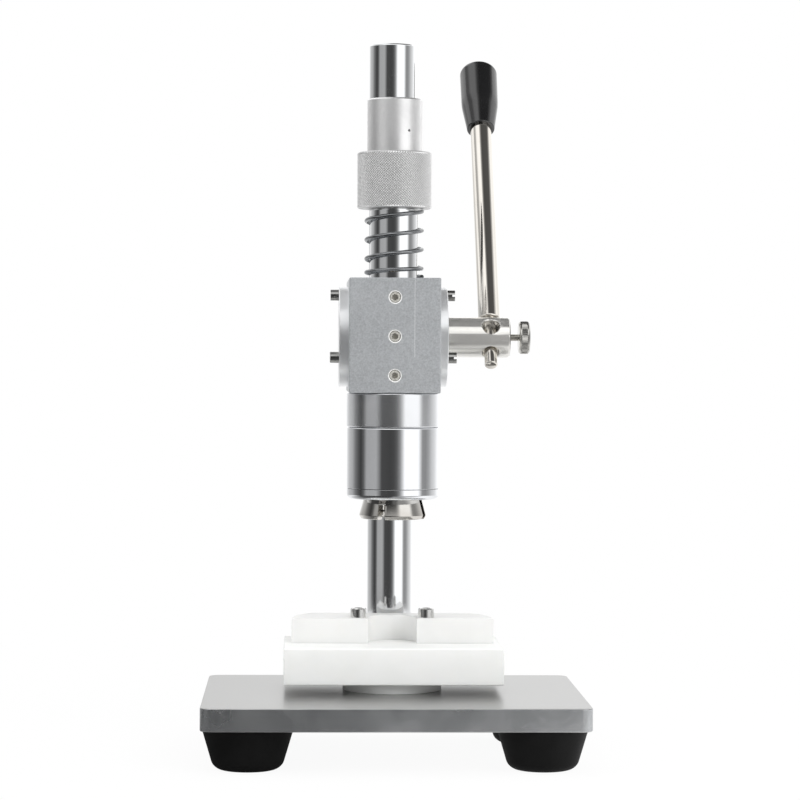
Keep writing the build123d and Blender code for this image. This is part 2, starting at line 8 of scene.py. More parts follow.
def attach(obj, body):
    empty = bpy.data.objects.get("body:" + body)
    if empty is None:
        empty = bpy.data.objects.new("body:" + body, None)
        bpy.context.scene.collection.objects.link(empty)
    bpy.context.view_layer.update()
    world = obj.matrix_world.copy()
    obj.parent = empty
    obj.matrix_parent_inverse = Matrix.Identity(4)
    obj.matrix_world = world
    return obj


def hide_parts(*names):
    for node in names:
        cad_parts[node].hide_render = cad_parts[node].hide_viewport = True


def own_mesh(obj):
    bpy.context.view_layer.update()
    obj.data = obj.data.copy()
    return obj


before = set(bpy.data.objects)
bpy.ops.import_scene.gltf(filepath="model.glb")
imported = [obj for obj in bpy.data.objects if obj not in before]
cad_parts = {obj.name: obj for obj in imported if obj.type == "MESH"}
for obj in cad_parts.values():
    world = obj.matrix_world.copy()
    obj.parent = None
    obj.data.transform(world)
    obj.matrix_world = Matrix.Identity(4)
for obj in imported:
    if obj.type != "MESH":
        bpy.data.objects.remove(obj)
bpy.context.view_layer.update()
print("frame loaded with", len(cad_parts), "nodes")

mm = 0.001
weld = 0.0004  # points that are nearer than this, in mm, become one


# Mesh helpers. Shapes are drawn in millimetres and brought to metres when they are stored.
def weighNormals(piece):
    # Large flat faces keep their own direction, and only the small faces of a rounding turn
    modifier = piece.modifiers.new("weighted", "WEIGHTED_NORMAL")
    modifier.keep_sharp = True
    evaluated = piece.evaluated_get(bpy.context.evaluated_depsgraph_get())
    mesh = bpy.data.meshes.new_from_object(evaluated)
    piece.modifiers.clear()
    old = piece.data
    piece.data = mesh
    bpy.data.meshes.remove(old)
    mesh.name = piece.name


def storePiece(name, bm, body, finishName, stands, sharpAngle=32, weighted=True):
    bmesh.ops.remove_doubles(bm, verts=bm.verts, dist=weld)
    bmesh.ops.recalc_face_normals(bm, faces=bm.faces)
    bmesh.ops.scale(bm, vec=(mm, mm, mm), verts=bm.verts)
    mesh = bpy.data.meshes.new(name)
    bm.to_mesh(mesh)
    bm.free()
    mesh.shade_smooth()
    mesh.set_sharp_from_angle(angle=math.radians(sharpAngle))
    mesh.materials.append(finish[finishName])
    piece = bpy.data.objects.new(name, mesh)
    bpy.context.scene.collection.objects.link(piece)
    if weighted:
        weighNormals(piece)
    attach(piece, body)
    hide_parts(*stands)
    return piece


def turnedShape(points, roundings=(), closed=False, steps=144):
    # Turns a section of radius and height round the Z axis. roundings holds the number of a point, the size
    # of its rounding and its segments.
    bm = bmesh.new()
    verts = [bm.verts.new((radius, 0, height)) for radius, height in points]
    for pair in zip(verts, verts[1:]):
        bm.edges.new(pair)
    if closed:
        bm.edges.new((verts[-1], verts[0]))
    for index, size, segments in roundings:
        bmesh.ops.bevel(
            bm,
            geom=[verts[index]],
            offset=size,
            offset_type="OFFSET",
            segments=segments,
            profile=0.5,
            affect="VERTICES",
            material=-1,
        )
    bmesh.ops.spin(
        bm,
        geom=bm.verts[:] + bm.edges[:],
        cent=(0, 0, 0),
        axis=(0, 0, 1),
        dvec=(0, 0, 0),
        angle=math.tau,
        steps=steps,
        use_merge=True,
        use_normal_flip=False,
        use_duplicate=False,
    )
    bmesh.ops.remove_doubles(bm, verts=bm.verts, dist=weld)
    return bm


def place(bm, origin, zAxis=(0, 0, 1), xAxis=(1, 0, 0)):
    z = Vector(zAxis).normalized()
    x = Vector(xAxis)
    x = (x - z * x.dot(z)).normalized()
    y = z.cross(x)
    matrix = Matrix((x, y, z)).transposed().to_4x4()
    matrix.translation = Vector(origin)
    bmesh.ops.transform(bm, matrix=matrix, verts=bm.verts)
    return bm


def roundedBox(low, high, cornerSize=0.0, edgeSize=0.5, cornerSegments=8, edgeSegments=3):
    bm = bmesh.new()
    bmesh.ops.create_cube(bm, size=1)
    size = [b - a for a, b in zip(low, high)]
    middle = [(a + b) / 2 for a, b in zip(low, high)]
    bmesh.ops.scale(bm, vec=size, verts=bm.verts)
    bmesh.ops.translate(bm, vec=middle, verts=bm.verts)
    bevel = dict(offset_type="OFFSET", profile=0.5, affect="EDGES", material=-1)
    if cornerSize:
        upright = [e for e in bm.edges if abs(e.verts[0].co.z - e.verts[1].co.z) > 0.1]
        bmesh.ops.bevel(bm, geom=upright, offset=cornerSize, segments=cornerSegments, **bevel)
    sharp = [e for e in bm.edges if e.calc_face_angle(0) > math.radians(40)]
    bmesh.ops.bevel(bm, geom=sharp, offset=edgeSize, segments=edgeSegments, **bevel)
    return bm


def copiedSolid(node):
    # A merged copy of a solid of the frame with whole flat faces, so that it can be shaded smoothly
    bm = bmesh.new()
    bm.from_mesh(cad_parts[node].data)
    bmesh.ops.scale(bm, vec=(1 / mm, 1 / mm, 1 / mm), verts=bm.verts)
    bmesh.ops.remove_doubles(bm, verts=bm.verts, dist=0.002)
    bmesh.ops.dissolve_limit(
        bm,
        angle_limit=math.radians(0.4),
        use_dissolve_boundaries=False,
        verts=bm.verts,
        edges=bm.edges,
        delimit=set(),
    )
    return bm


def storeCopy(name, body, finishName, node, sharpAngle=32):
    storePiece(name, copiedSolid(node), body, finishName, [node], sharpAngle)


def socketScrew(headRadius, headHeight, socketRadius, socketDepth, shankRadius, shankLength, edge):
    # The head stands on the XY plane with its socket on top and its shank below
    bm = bmesh.new()
    rim = bmesh.ops.create_circle(bm, segments=48, radius=headRadius - edge)["verts"]
    hexagon = bmesh.ops.create_circle(bm, segments=6, radius=socketRadius)["verts"]
    bmesh.ops.translate(bm, vec=(0, 0, headHeight), verts=rim + hexagon)
    rimEdges = [e for e in bm.edges if e.verts[0] in rim]
    hexEdges = [e for e in bm.edges if e.verts[0] in hexagon]
    bmesh.ops.bridge_loops(bm, edges=rimEdges + hexEdges)
    low = bmesh.ops.extrude_edge_only(bm, edges=hexEdges)["geom"]
    lowVerts = [g for g in low if isinstance(g, bmesh.types.BMVert)]
    bmesh.ops.translate(bm, vec=(0, 0, -socketDepth), verts=lowVerts)
    bmesh.ops.contextual_create(bm, geom=[g for g in low if isinstance(g, bmesh.types.BMEdge)])
    loop = rimEdges
    steps = [(headRadius, headHeight - edge), (headRadius, 0), (shankRadius, 0), (shankRadius, -shankLength)]
    for radius, height in steps:
        geom = bmesh.ops.extrude_edge_only(bm, edges=loop)["geom"]
        verts = [g for g in geom if isinstance(g, bmesh.types.BMVert)]
        loop = [g for g in geom if isinstance(g, bmesh.types.BMEdge)]
        now = Vector((verts[0].co.x, verts[0].co.y)).length
        bmesh.ops.scale(bm, vec=(radius / now, radius / now, 1), verts=verts)
        bmesh.ops.translate(bm, vec=(0, 0, height - verts[0].co.z), verts=verts)
    bmesh.ops.contextual_create(bm, geom=loop)
    return bm


def joinShapes(shapes):
    whole = bmesh.new()
    for shape in shapes:
        mesh = bpy.data.meshes.new("part")
        shape.to_mesh(mesh)
        shape.free()
        whole.from_mesh(mesh)
        bpy.data.meshes.remove(mesh)
    return whole


def gridLine(radius, low, high, rows):
    # The points of a section that a knurl is cut in
    return [(radius, low + (high - low) * row / rows) for row in range(rows + 1)]


def knurl(bm, grip, low, high, diamond=True):
    # Lifts every second point of a fine grid on a cylinder and sinks the others, which leaves small pyramids,
    # or straight ridges where diamond is False. The rims and the points inside stay where they are.
    sunk = set()
    for v in bm.verts:
        around = math.atan2(v.co.y, v.co.x) / math.tau * grip["steps"]
        up = (v.co.z - low) / (high - low) * grip["rows"]
        distance = Vector((v.co.x, v.co.y)).length
        if distance < grip["radius"] - 0.15 or up < 0.5 or up > grip["rows"] - 0.5:
            continue
        lifted = (round(around) + (round(up) if diamond else 0)) % 2
        if not lifted:
            sunk.add(v)
        scale = (distance + (grip["depth"] if lifted else -grip["depth"])) / distance
        v.co.x *= scale
        v.co.y *= scale
    if diamond:
        for face in [f for f in bm.faces if len(f.verts) == 4]:
            pair = [v for v in face.verts if v in sunk]
            if len(pair) == 2:
                bmesh.utils.face_split(face, *pair)


# Shader helpers
def feed(tree, node, inputs):
    # Links a socket, or sets a plain value, for each named or numbered input
    for key, value in inputs.items():
        if isinstance(value, bpy.types.NodeSocket):
            tree.links.new(value, node.inputs[key])
        else:
            node.inputs[key].default_value = value
    return node


def addNode(tree, kind, inputs=None, **settings):
    node = tree.nodes.new(kind)
    for key, value in settings.items():
        setattr(node, key, value)
    return feed(tree, node, inputs or {})


def noiseNode(tree, vector, **values):
    return addNode(tree, "ShaderNodeTexNoise", {"Vector": vector, **values})


def objectSpace(tree):
    return addNode(tree, "ShaderNodeTexCoord").outputs["Object"]


def newMaterial(name):
    material = bpy.data.materials.new(name)
    material.use_nodes = True
    return material, material.node_tree


def newGroup(name, inputs, outputs):
    # A node group that takes a vector and some numbers and gives numbers
    group = bpy.data.node_groups.new(name, "ShaderNodeTree")
    group.interface.new_socket(name="Vector", in_out="INPUT", socket_type="NodeSocketVector")
    for label in inputs:
        group.interface.new_socket(name=label, in_out="INPUT", socket_type="NodeSocketFloat")
    for label in outputs:
        group.interface.new_socket(name=label, in_out="OUTPUT", socket_type="NodeSocketFloat")
    start = group.nodes.new("NodeGroupInput")
    end = group.nodes.new("NodeGroupOutput")
    return group, start.outputs, end.inputs


def useGroup(tree, group, **values):
    node = tree.nodes.new("ShaderNodeGroup")
    node.node_tree = group
    return feed(tree, node, values)


def mixColour(tree, share, first, second):
    node = addNode(tree, "ShaderNodeMix", data_type="RGBA")
    return feed(tree, node, {0: share, 6: first, 7: second}).outputs[2]


def mapValue(tree, value, low, high, fromLow=0.0, fromHigh=1.0):
    limits = {"Value": value, "From Min": fromLow, "From Max": fromHigh, "To Min": low, "To Max": high}
    return addNode(tree, "ShaderNodeMapRange", limits).outputs["Result"]


def mathNode(tree, operation, first, second=0.5):
    return addNode(tree, "ShaderNodeMath", {0: first, 1: second}, operation=operation).outputs[0]


def sharplySeen(tree):
    # One where the camera, polished metal or glass looks, and nought for the light on dull surfaces
    path = addNode(tree, "ShaderNodeLightPath")
    seen = mathNode(tree, "MAXIMUM", path.outputs["Is Camera Ray"], path.outputs["Is Glossy Ray"])
    return mathNode(tree, "MAXIMUM", seen, path.outputs["Is Transmission Ray"])


# Fine grain, seen as small bright and dark specks. Scales are in grains per millimetre.
fineGrain, grainIn, grainOut = newGroup("fineGrain", ["Scale", "Contrast"], ["Value", "Height"])
grainNoise = noiseNode(fineGrain, grainIn["Vector"], Scale=grainIn["Scale"], Detail=3.0, Roughness=0.65)
grainLow = mathNode(fineGrain, "SUBTRACT", 0.5, grainIn["Contrast"])
grainHigh = mathNode(fineGrain, "ADD", 0.5, grainIn["Contrast"])
grainValue = mapValue(fineGrain, grainNoise.outputs["Fac"], 0.0, 1.0, fromLow=grainLow, fromHigh=grainHigh)
fineGrain.links.new(grainValue, grainOut["Value"])
fineGrain.links.new(grainNoise.outputs["Fac"], grainOut["Height"])

# Handling marks: soft smudges and a few thin scratches
handlingMarks, marksIn, marksOut = newGroup(
    "handlingMarks",
    ["Smudge Scale", "Scratch Scale", "Scratch Amount"],
    ["Smudge", "Scratch"],
)
smudgeScale = marksIn["Smudge Scale"]
smudgeNoise = noiseNode(handlingMarks, marksIn["Vector"], Scale=smudgeScale, Detail=5.0, Distortion=0.6)
smudge = mapValue(handlingMarks, smudgeNoise.outputs["Fac"], 0.0, 1.0, fromLow=0.35, fromHigh=0.68)
handlingMarks.links.new(smudge, marksOut["Smudge"])
# The scratches are the borders of cells that are bent by up to 18 mm, broken up by a coarse noise
bend = noiseNode(handlingMarks, marksIn["Vector"], Scale=0.03, Detail=1.0)
bentVector = addNode(
    handlingMarks,
    "ShaderNodeVectorMath",
    {0: bend.outputs["Color"], 1: (18, 18, 18), 2: marksIn["Vector"]},
    operation="MULTIPLY_ADD",
)
cells = addNode(
    handlingMarks,
    "ShaderNodeTexVoronoi",
    {"Vector": bentVector.outputs[0], "Scale": marksIn["Scratch Scale"]},
    feature="DISTANCE_TO_EDGE",
)
thin = mapValue(handlingMarks, cells.outputs["Distance"], 1.0, 0.0, fromHigh=0.012)
breakUp = noiseNode(handlingMarks, marksIn["Vector"], Scale=0.11, Detail=2.0)
broken = mapValue(handlingMarks, breakUp.outputs["Fac"], 0.0, 1.0, fromLow=0.52, fromHigh=0.62)
scratch = mathNode(handlingMarks, "MULTIPLY", thin, broken)
scratch = mathNode(handlingMarks, "MULTIPLY", scratch, marksIn["Scratch Amount"])
handlingMarks.links.new(scratch, marksOut["Scratch"])

# Turning lines: fine rings round the local Z axis of the vector that comes in
turningLines, turningIn, turningOut = newGroup("turningLines", ["Scale"], ["Value"])
squeezed = addNode(
    turningLines,
    "ShaderNodeVectorMath",
    {0: turningIn["Vector"], 1: (0.02, 0.02, 1.0)},
    operation="MULTIPLY",
)
ringNoise = noiseNode(turningLines, squeezed.outputs[0], Scale=turningIn["Scale"], Detail=2.0)
turningLines.links.new(ringNoise.outputs["Fac"], turningOut["Value"])


def startMaterial(name, uniform):
    # The mapping turns the object's metres into millimetres
    material, tree = newMaterial(name)
    shader = feed(tree, tree.nodes["Principled BSDF"], uniform)
    scaled = addNode(tree, "ShaderNodeMapping", {"Vector": objectSpace(tree)})
    scaled.inputs["Scale"].default_value = (1 / mm, 1 / mm, 1 / mm)
    return material, tree, shader, scaled


def addBump(tree, shader, height, strength, distance):
    bump = addNode(tree, "ShaderNodeBump", {"Height": height, "Strength": strength})
    bump.inputs["Distance"].default_value = distance * mm
    tree.links.new(bump.outputs["Normal"], shader.inputs["Normal"])


scratchRoughness = 0.25  # added where a metal is scratched
# colour of the painted shade in the hollows between the points of a knurl
grooveShadeColour = (0.02, 0.02, 0.02, 1)


def metalFinish(name, look):
    # A plated, ground, blasted or turned metal, from the values of one look
    material, tree, shader, scaled = startMaterial(name, {"Metallic": look.get("metallic", 1.0)})
    if "brushed" in look:
        # Turning marks run round this axis, and they spread the reflections along it
        tangent = addNode(tree, "ShaderNodeTangent", direction_type="RADIAL", axis=look["brushed"])
        spread = {"Tangent": tangent.outputs[0], "Anisotropic": 0.85, "Anisotropic Rotation": 0.25}
        feed(tree, shader, spread)
    if "axis" in look:
        scaled.inputs["Rotation"].default_value = look["axis"]
    vector = scaled.outputs[0]
    grain = useGroup(
        tree,
        fineGrain,
        Vector=vector,
        Scale=look.get("grainScale", 2.0),
        Contrast=look.get("grainContrast", 0.2),
    )
    marks = useGroup(
        tree,
        handlingMarks,
        **{
            "Vector": vector,
            "Smudge Scale": 0.05,
            "Scratch Scale": 0.2,
            "Scratch Amount": look.get("scratches", 0.2),
        },
    )
    share = mathNode(tree, "MULTIPLY", grain.outputs["Value"], look.get("grainShare", 0.3))
    colour = mixColour(tree, share, look["colour"] + (1,), look["second"] + (1,))
    stain = mathNode(tree, "MULTIPLY", marks.outputs["Smudge"], look.get("stainShare", 0.15))
    colour = mixColour(tree, stain, colour, look["stain"] + (1,))
    if "groove" in look:
        # Painted shade: darkens what lies deep between the points of the knurl
        bottom, top, shade = look["groove"]
        apart = addNode(tree, "ShaderNodeSeparateXYZ", {"Vector": vector})
        across = mathNode(tree, "MULTIPLY", apart.outputs["X"], apart.outputs["X"])
        along = mathNode(tree, "MULTIPLY", apart.outputs["Y"], apart.outputs["Y"])
        reach = mathNode(tree, "SQRT", mathNode(tree, "ADD", across, along))
        deep = mapValue(tree, reach, 1.0 - shade, 0.0, bottom, top)
        colour = mixColour(tree, deep, colour, grooveShadeColour)
    tree.links.new(colour, shader.inputs["Base Color"])
    rough = mapValue(tree, marks.outputs["Smudge"], *look["rough"])
    scratched = mathNode(tree, "MULTIPLY", marks.outputs["Scratch"], scratchRoughness)
    rough = mathNode(tree, "ADD", rough, scratched)
    tree.links.new(rough, shader.inputs["Roughness"])
    if "lines" in look:
        rings = useGroup(tree, turningLines, Vector=vector, Scale=look["lines"])
        addBump(tree, shader, rings.outputs["Value"], look["bump"], look.get("depth", 0.02))
    elif "bump" in look:
        addBump(tree, shader, grain.outputs["Height"], look["bump"], look.get("depth", 0.03))
    return material


alongX = (0, math.radians(90), 0)  # turns the rings of a finish round the X axis
leverTilt = math.radians(36.3)
alongLever = (leverTilt, 0, 0)
gibHeights = (143.3, 164.0, 184.7)  # of the three set screws in the front face of the block

metalLooks = {
    "chromePlate": {
        "colour": (0.80, 0.81, 0.82),
        "second": (0.74, 0.75, 0.76),
        "stain": (0.68, 0.69, 0.70),
        "rough": (0.035, 0.07),
        "stainShare": 0.10,
        "grainScale": 0.6,
        "lines": 9.0,
        "bump": 0.03,
        "scratches": 0.4,
    },
    "headChromePlate": {
        "colour": (0.80, 0.81, 0.83),
        "second": (0.72, 0.73, 0.75),
        "stain": (0.66, 0.67, 0.70),
        "rough": (0.05, 0.09),
        "stainShare": 0.12,
        "grainScale": 0.5,
        "lines": 8.0,
        "bump": 0.05,
        "scratches": 0.5,
    },
    "adapterChromePlate": {
        "colour": (0.80, 0.81, 0.83),
        "second": (0.74, 0.75, 0.77),
        "stain": (0.70, 0.71, 0.73),
        "rough": (0.22, 0.26),
        "brushed": "Z",
        "stainShare": 0.12,
        "grainShare": 0.1,
        "grainScale": 0.5,
        "scratches": 0.15,
    },
    "groundSteel": {
        "colour": (0.74, 0.74, 0.75),
        "second": (0.62, 0.62, 0.63),
        "stain": (0.45, 0.44, 0.43),
        "rough": (0.08, 0.16),
        "grainScale": 0.8,
        "lines": 10.0,
        "bump": 0.08,
    },
    "blastedAluminium": {
        "metallic": 0.6,
        "colour": (0.66, 0.68, 0.70),
        "second": (0.37, 0.385, 0.40),
        "stain": (0.50, 0.515, 0.53),
        "rough": (0.34, 0.42),
        "grainScale": 1.1,
        "grainContrast": 0.2,
        "grainShare": 0.7,
        "bump": 0.3,
        "depth": 0.05,
        "scratches": 0.15,
    },
    "turnedAluminium": {
        "metallic": 0.85,
        "colour": (0.87, 0.87, 0.87),
        "second": (0.72, 0.72, 0.72),
        "stain": (0.66, 0.66, 0.66),
        "stainShare": 0.5,
        "rough": (0.34, 0.42),
        "grainScale": 0.5,
        "lines": 5.0,
        "bump": 0.15,
        "depth": 0.02,
    },
    "coverAluminium": {
        "metallic": 0.75,
        "colour": (0.88, 0.89, 0.90),
        "second": (0.78, 0.79, 0.80),
        "stain": (0.62, 0.62, 0.62),
        "rough": (0.28, 0.36),
        "axis": alongX,
        "lines": 7.0,
        "bump": 0.15,
        "depth": 0.02,
    },
    "knurledAluminium": {
        "metallic": 0.7,
        "colour": (0.95, 0.95, 0.95),
        "second": (0.92, 0.92, 0.92),
        "stain": (0.90, 0.90, 0.90),
        "stainShare": 0.05,
        "rough": (0.34, 0.38),
        "scratches": 0.05,
        # radii between which the knurl's hollows get painted shade, and its strength
        "groove": (19.40, 19.80, 0.55),
    },
    "darkSpringWire": {
        "colour": (0.30, 0.31, 0.32),
        "second": (0.18, 0.18, 0.19),
        "stain": (0.12, 0.11, 0.11),
        "rough": (0.14, 0.24),
        "bump": 0.1,
    },
    "nickelHub": {
        "metallic": 0.85,
        "colour": (0.84, 0.83, 0.80),
        "second": (0.72, 0.71, 0.68),
        "stain": (0.48, 0.46, 0.43),
        "rough": (0.20, 0.26),
        "brushed": "X",
        "axis": alongX,
        "lines": 8.0,
        "bump": 0.1,
    },
    "nickelRod": {
        "colour": (0.80, 0.77, 0.72),
        "second": (0.74, 0.71, 0.66),
        "stain": (0.56, 0.50, 0.43),
        "rough": (0.05, 0.10),
        "axis": alongLever,
        "lines": 8.0,
        "bump": 0.04,
        "scratches": 0.5,
    },
    "thumbSteel": {
        "colour": (0.62, 0.61, 0.58),
        "second": (0.46, 0.45, 0.43),
        "stain": (0.36, 0.34, 0.32),
        "rough": (0.20, 0.30),
        "axis": alongX,
        "bump": 0.1,
    },
    "coverScrewSteel": {
        "colour": (0.40, 0.40, 0.39),
        "second": (0.24, 0.24, 0.24),
        "stain": (0.16, 0.15, 0.14),
        "rough": (0.14, 0.26),
        "bump": 0.1,
    },
    "zincScrew": {
        "colour": (0.74, 0.74, 0.73),
        "second": (0.58, 0.58, 0.57),
        "stain": (0.40, 0.38, 0.36),
        "rough": (0.12, 0.22),
        "bump": 0.1,
    },
    "yellowSetScrew": {
        "metallic": 0.5,
        "colour": (0.84, 0.82, 0.76),
        "second": (0.66, 0.64, 0.58),
        "stain": (0.34, 0.32, 0.28),
        "stainShare": 0.3,
        "rough": (0.12, 0.2),
        "bump": 0.1,
    },
    "jawSteel": {
        "colour": (0.72, 0.71, 0.685),
        "second": (0.60, 0.585, 0.555),
        "stain": (0.38, 0.33, 0.28),
        "stainShare": 0.35,
        "rough": (0.06, 0.14),
        "lines": 9.0,
        "bump": 0.06,
    },
    "bearingBronze": {
        "colour": (0.66, 0.46, 0.24),
        "second": (0.52, 0.34, 0.17),
        "stain": (0.30, 0.20, 0.10),
        "rough": (0.22, 0.34),
        "bump": 0.1,
    },
}
finish = {name: metalFinish(name, look) for name, look in metalLooks.items()}


def blockFinish():
    # The blasted block also has one thin scribed line and three hole mouths on its front face. The mouths are
    # bare machined metal, and they are painted bright and less metallic as a painted highlight.
    line = {"x": 10.4, "halfWidth": 0.16, "lowestZ": 153.0, "colour": (0.90, 0.91, 0.92, 1), "share": 0.75}
    # colour of the painted highlight rings at the hole mouths
    mouth = {"radius": 3.58, "colour": (0.95, 0.95, 0.94, 1), "metallic": 0.2}
    frontFace = -23.5
    material = metalFinish("blastedBlock", metalLooks["blastedAluminium"])
    tree = material.node_tree
    shader = tree.nodes["Principled BSDF"]
    apart = addNode(tree, "ShaderNodeSeparateXYZ", {"Vector": objectSpace(tree)})
    offset = mathNode(tree, "ABSOLUTE", mathNode(tree, "SUBTRACT", apart.outputs["X"], line["x"] * mm))
    near = mathNode(tree, "LESS_THAN", offset, line["halfWidth"] * mm)
    above = mathNode(tree, "GREATER_THAN", apart.outputs["Z"], line["lowestZ"] * mm)
    front = mathNode(tree, "LESS_THAN", apart.outputs["Y"], frontFace * mm)
    mask = mathNode(tree, "MULTIPLY", mathNode(tree, "MULTIPLY", near, above), front)
    mask = mathNode(tree, "MULTIPLY", mask, line["share"])
    old = shader.inputs["Base Color"].links[0].from_socket
    lined = mixColour(tree, mask, old, line["colour"])
    nearest = 1.0
    for height in gibHeights:
        away = mathNode(tree, "ABSOLUTE", mathNode(tree, "SUBTRACT", apart.outputs["Z"], height * mm))
        nearest = mathNode(tree, "MINIMUM", away, nearest)
    across = mathNode(tree, "MULTIPLY", apart.outputs["X"], apart.outputs["X"])
    along = mathNode(tree, "MULTIPLY", nearest, nearest)
    reach = mathNode(tree, "SQRT", mathNode(tree, "ADD", across, along))
    # painted highlight: bright, less metallic rings round the three set screw holes
    ring = mathNode(tree, "MULTIPLY", mathNode(tree, "LESS_THAN", reach, mouth["radius"] * mm), front)
    tree.links.new(mixColour(tree, ring, lined, mouth["colour"]), shader.inputs["Base Color"])
    metallic = mapValue(tree, ring, metalLooks["blastedAluminium"]["metallic"], mouth["metallic"])
    tree.links.new(metallic, shader.inputs["Metallic"])
    return material


def plateFinish():
    # Satin top and underside, and darker milled edges with painted reflections, soft bright blotches of
    # light, and bright scratches
    look = {
        "top": (0.47, 0.47, 0.465, 1),
        "topSecond": (0.41, 0.41, 0.405, 1),
        "edge": (0.56, 0.57, 0.58, 1),
        "edgeSecond": (0.34, 0.35, 0.36, 1),
        # colour of the painted reflections and of the real scratches on the edges
        "reflectionAndScratchColour": (0.86, 0.86, 0.86, 1),
        "paintedReflectionShare": 0.18,
        "topRough": (0.28, 0.34),
        "edgeRough": (0.18, 0.30),
        "edgeBelow": 0.6,
        "bump": 0.18,
    }
    material, tree, shader, scaled = startMaterial("plateMetal", {"Metallic": 0.85})
    vector = scaled.outputs[0]
    geometry = addNode(tree, "ShaderNodeNewGeometry")
    apart = addNode(tree, "ShaderNodeSeparateXYZ", {"Vector": geometry.outputs["Normal"]})
    side = mathNode(tree, "LESS_THAN", mathNode(tree, "ABSOLUTE", apart.outputs["Z"]), look["edgeBelow"])
    grain = useGroup(tree, fineGrain, Vector=vector, Scale=3.0, Contrast=0.16)
    marks = useGroup(
        tree,
        handlingMarks,
        **{"Vector": vector, "Smudge Scale": 0.045, "Scratch Scale": 0.12, "Scratch Amount": 0.35},
    )
    top = mixColour(tree, grain.outputs["Value"], look["top"], look["topSecond"])
    edge = mixColour(tree, marks.outputs["Smudge"], look["edge"], look["edgeSecond"])
    # painted reflection: soft bright blotches on the milled edges
    reflectionSpots = noiseNode(tree, vector, Scale=0.07, Detail=3.0, Distortion=0.2)
    paintedReflectionMask = mapValue(tree, reflectionSpots.outputs["Fac"], 0.0, look["paintedReflectionShare"], fromLow=0.50, fromHigh=0.80)
    edge = mixColour(tree, paintedReflectionMask, edge, look["reflectionAndScratchColour"])
    # real bright scratches, in the same colour as the painted reflections
    edge = mixColour(tree, marks.outputs["Scratch"], edge, look["reflectionAndScratchColour"])
    tree.links.new(mixColour(tree, side, top, edge), shader.inputs["Base Color"])
    smooth = mapValue(tree, marks.outputs["Smudge"], *look["edgeRough"])
    dull = mapValue(tree, grain.outputs["Value"], *look["topRough"])
    chosen = addNode(tree, "ShaderNodeMix", {0: side, 2: dull, 3: smooth})
    tree.links.new(chosen.outputs[0], shader.inputs["Roughness"])
    addBump(tree, shader, grain.outputs["Height"], look["bump"], 0.03)
    return material


def plasticFinish(name, look):
    material, tree, shader, scaled = startMaterial(
        name,
        {
            "Metallic": 0.0,
            "Subsurface Weight": look["depth"],
            "Subsurface Scale": 0.006,
            "Subsurface Radius": (1.0, 0.96, 0.9),
            "IOR": look.get("ior", 1.5),
            "Specular IOR Level": look.get("shine", 0.5),
        },
    )
    vector = scaled.outputs[0]
    grain = useGroup(tree, fineGrain, Vector=vector, Scale=look["grainScale"], Contrast=0.2)
    marks = useGroup(tree, handlingMarks, **{"Vector": vector, "Smudge Scale": 0.04, "Scratch Scale": 0.2})
    marks.inputs["Scratch Amount"].default_value = 0.3
    colour = mixColour(tree, marks.outputs["Smudge"], look["colour"] + (1,), look["second"] + (1,))
    tree.links.new(colour, shader.inputs["Base Color"])
    rough = mapValue(tree, grain.outputs["Value"], *look["rough"])
    tree.links.new(rough, shader.inputs["Roughness"])
    addBump(tree, shader, grain.outputs["Height"], look["bump"], 0.04)
    return material


plasticLooks = {
    "platformPlastic": {
        "colour": (0.93, 0.94, 0.92),
        "second": (0.90, 0.91, 0.89),
        "depth": 0.3,
        "grainScale": 1.5,
        "rough": (0.42, 0.5),
        "bump": 0.12,
    },
    "locatorPlastic": {
        "colour": (0.83, 0.83, 0.82),
        "second": (0.80, 0.80, 0.79),
        "depth": 0.35,
        "grainScale": 1.2,
        "rough": (0.38, 0.46),
        "bump": 0.10,
    },
    "blackKnobPlastic": {
        "colour": (0.005, 0.005, 0.0055),
        "second": (0.008, 0.008, 0.0085),
        "depth": 0.0,
        "ior": 1.8,
        "grainScale": 0.8,
        "rough": (0.12, 0.18),
        "bump": 0.05,
    },
    "footRubber": {
        "colour": (0.005, 0.005, 0.005),
        "second": (0.008, 0.008, 0.008),
        "depth": 0.0,
        "shine": 0.12,
        "grainScale": 2.5,
        "rough": (0.55, 0.7),
        "bump": 0.2,
    },
}
for name, look in plasticLooks.items():
    finish[name] = plasticFinish(name, look)
finish["blastedBlock"] = blockFinish()
finish["plateMetal"] = plateFinish()
print("finishes made:", len(finish))

# Base plate
plate = {"low": (-100, -86, -37), "high": (100, 64, -25), "corner": 6, "edge": 0.6}
bm = roundedBox(plate["low"], plate["high"], plate["corner"], plate["edge"])
storePiece("basePlate", bm, "base", "plateMetal", ["base_plate"])

# Four tapered rubber feet with a screw well in each
foot = {"floor": -59, "top": -37, "bottomRadius": 17.5, "topRadius": 24, "rounding": 4.5}
footWell = {"radius": 9, "depth": 9, "screwHole": 3.4}
footPlaces = {
    "foot_front_left": (-76, -61),
    "foot_front_right": (76, -61),
    "foot_rear_left": (-76, 39),
    "foot_rear_right": (76, 39),
}
for node, (x, y) in footPlaces.items():
    outline = [
        (footWell["screwHole"], foot["top"]),
        (footWell["screwHole"], foot["floor"] + footWell["depth"]),
        (footWell["radius"], foot["floor"] + footWell["depth"]),
        (footWell["radius"], foot["floor"]),
        (foot["bottomRadius"], foot["floor"]),
        (foot["topRadius"], foot["top"]),
    ]
    bm = turnedShape(outline, [(3, 0.5, 2), (4, foot["rounding"], 8), (5, 0.25, 2)], closed=True)
    place(bm, (x, y, 0))
    end, side = node.split("_")[1:]
    name = "foot" + end.title() + side.title()
    storePiece(name, bm, "base", "footRubber", [node])

# Pillar
pillar = {"radius": 12.5, "bottom": -29, "top": 325, "y": 46, "chamfer": 1.0}
outline = [
    (0, pillar["bottom"]),
    (pillar["radius"], pillar["bottom"]),
    (pillar["radius"], pillar["top"]),
    (0, pillar["top"]),
]
bm = turnedShape(outline, [(2, pillar["chamfer"], 3)], steps=192)
place(bm, (0, pillar["y"], 0))
storePiece("chromePillar", bm, "base", "chromePlate", ["pillar"])

